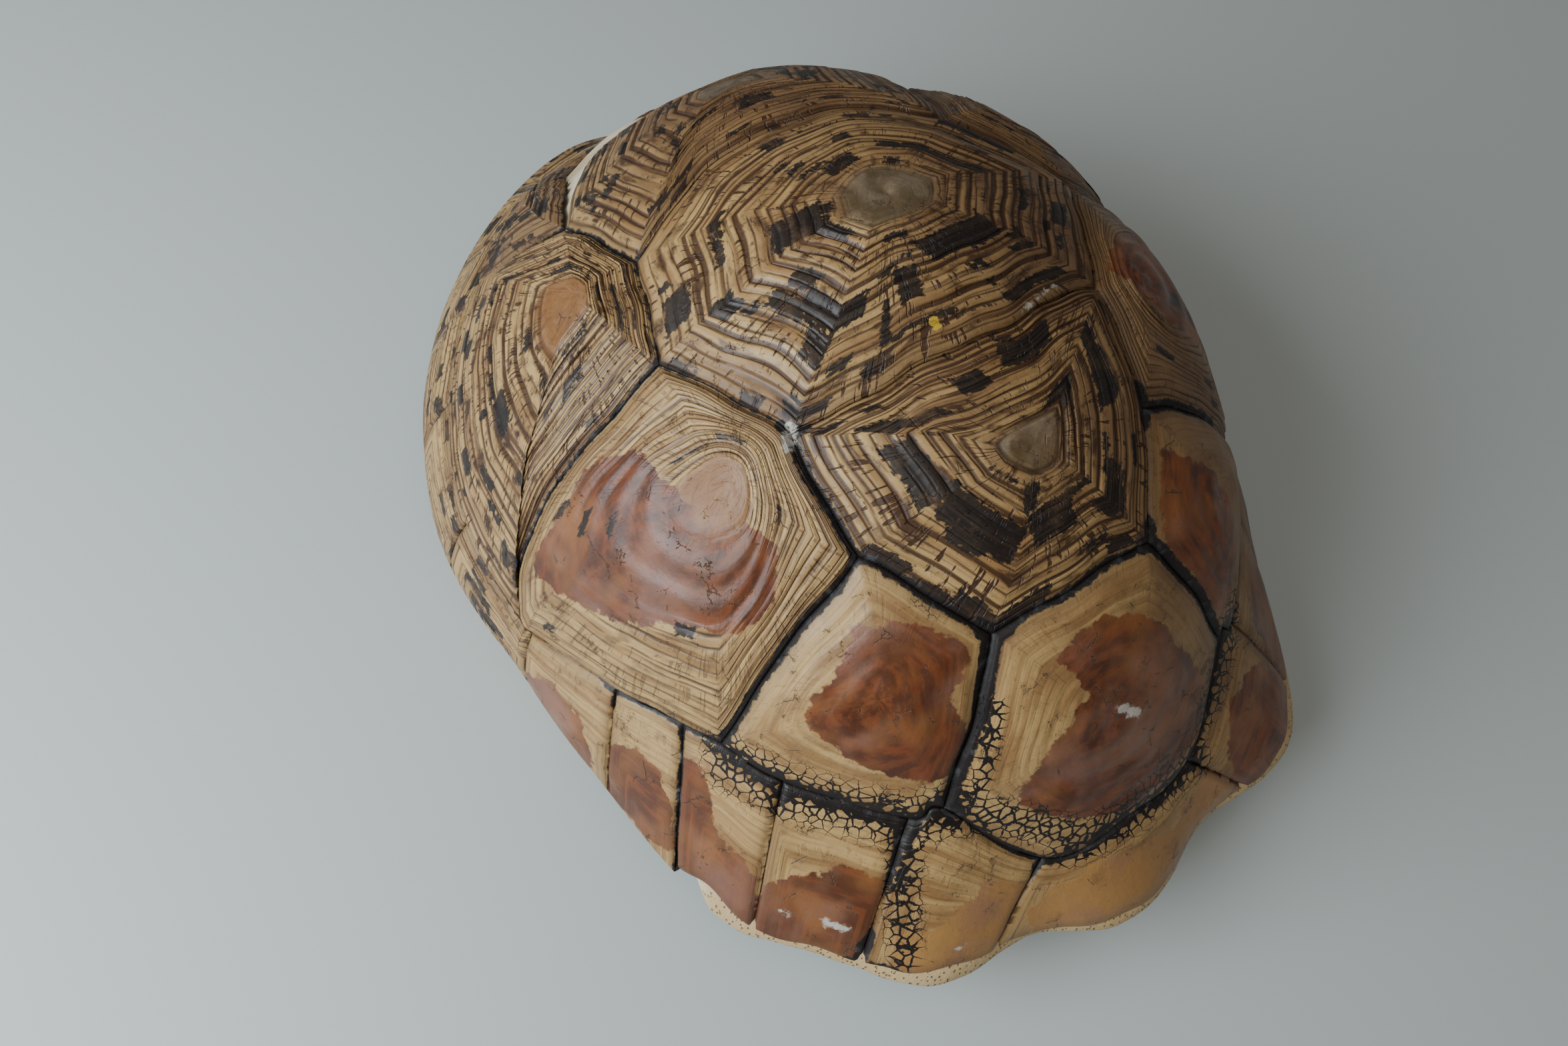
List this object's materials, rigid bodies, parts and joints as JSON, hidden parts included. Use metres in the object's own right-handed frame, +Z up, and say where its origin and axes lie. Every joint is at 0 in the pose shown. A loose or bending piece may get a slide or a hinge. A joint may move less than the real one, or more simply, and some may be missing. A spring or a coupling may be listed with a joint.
{
  "type": "tortoise shell",
  "caption": "Empty adult tortoise shell: a high domed carapace and flat plastron of bone, covered in ringed keratin scutes, open at the head and tail ends.",
  "frame": {"origin": "on the floor it rests on, under the centre of the shell's bounding box", "axes": "+Y towards the tail end, -Y towards the head end, +X towards the animal's left side, +Z up"},
  "size_m": [0.2818, 0.3552, 0.1761],
  "materials": {
    "bone": "dry cream-white bone, slightly porous at its edges",
    "dome_keratin": "straw-tan keratin with dark brown blotches and raised growth rings, satin gloss",
    "rim_keratin": "orange-brown and tan keratin, worn smooth, satin gloss",
    "plastron_keratin": "dull yellow horn with faint growth rings and brown wedges"
  },
  "bodies": {
    "root": {"carapace_bone": "bone", "plastron_bone": "bone", "vertebral_1": "dome_keratin", "vertebral_2": "dome_keratin", "vertebral_3": "dome_keratin", "vertebral_4": "dome_keratin", "vertebral_5": "dome_keratin", "costal_1_left": "dome_keratin", "costal_2_left": "dome_keratin", "costal_3_left": "dome_keratin", "costal_4_left": "dome_keratin", "costal_1_right": "dome_keratin", "costal_2_right": "dome_keratin", "costal_3_right": "dome_keratin", "costal_4_right": "dome_keratin", "marginal_1_left": "rim_keratin", "marginal_2_left": "rim_keratin", "marginal_3_left": "rim_keratin", "marginal_4_left": "rim_keratin", "marginal_5_left": "rim_keratin", "marginal_6_left": "rim_keratin", "marginal_7_left": "rim_keratin", "marginal_8_left": "rim_keratin", "marginal_9_left": "rim_keratin", "marginal_10_left": "rim_keratin", "marginal_11_left": "rim_keratin", "marginal_1_right": "rim_keratin", "marginal_2_right": "rim_keratin", "marginal_3_right": "rim_keratin", "marginal_4_right": "rim_keratin", "marginal_5_right": "rim_keratin", "marginal_6_right": "rim_keratin", "marginal_7_right": "rim_keratin", "marginal_8_right": "rim_keratin", "marginal_9_right": "rim_keratin", "marginal_10_right": "rim_keratin", "marginal_11_right": "rim_keratin", "supracaudal": "rim_keratin", "gular_left": "plastron_keratin", "gular_right": "plastron_keratin", "humeral_left": "plastron_keratin", "humeral_right": "plastron_keratin", "pectoral_left": "plastron_keratin", "pectoral_right": "plastron_keratin", "abdominal_left": "plastron_keratin", "abdominal_right": "plastron_keratin", "femoral_left": "plastron_keratin", "femoral_right": "plastron_keratin", "anal_left": "plastron_keratin", "anal_right": "plastron_keratin"}
  },
  "joints": []
}
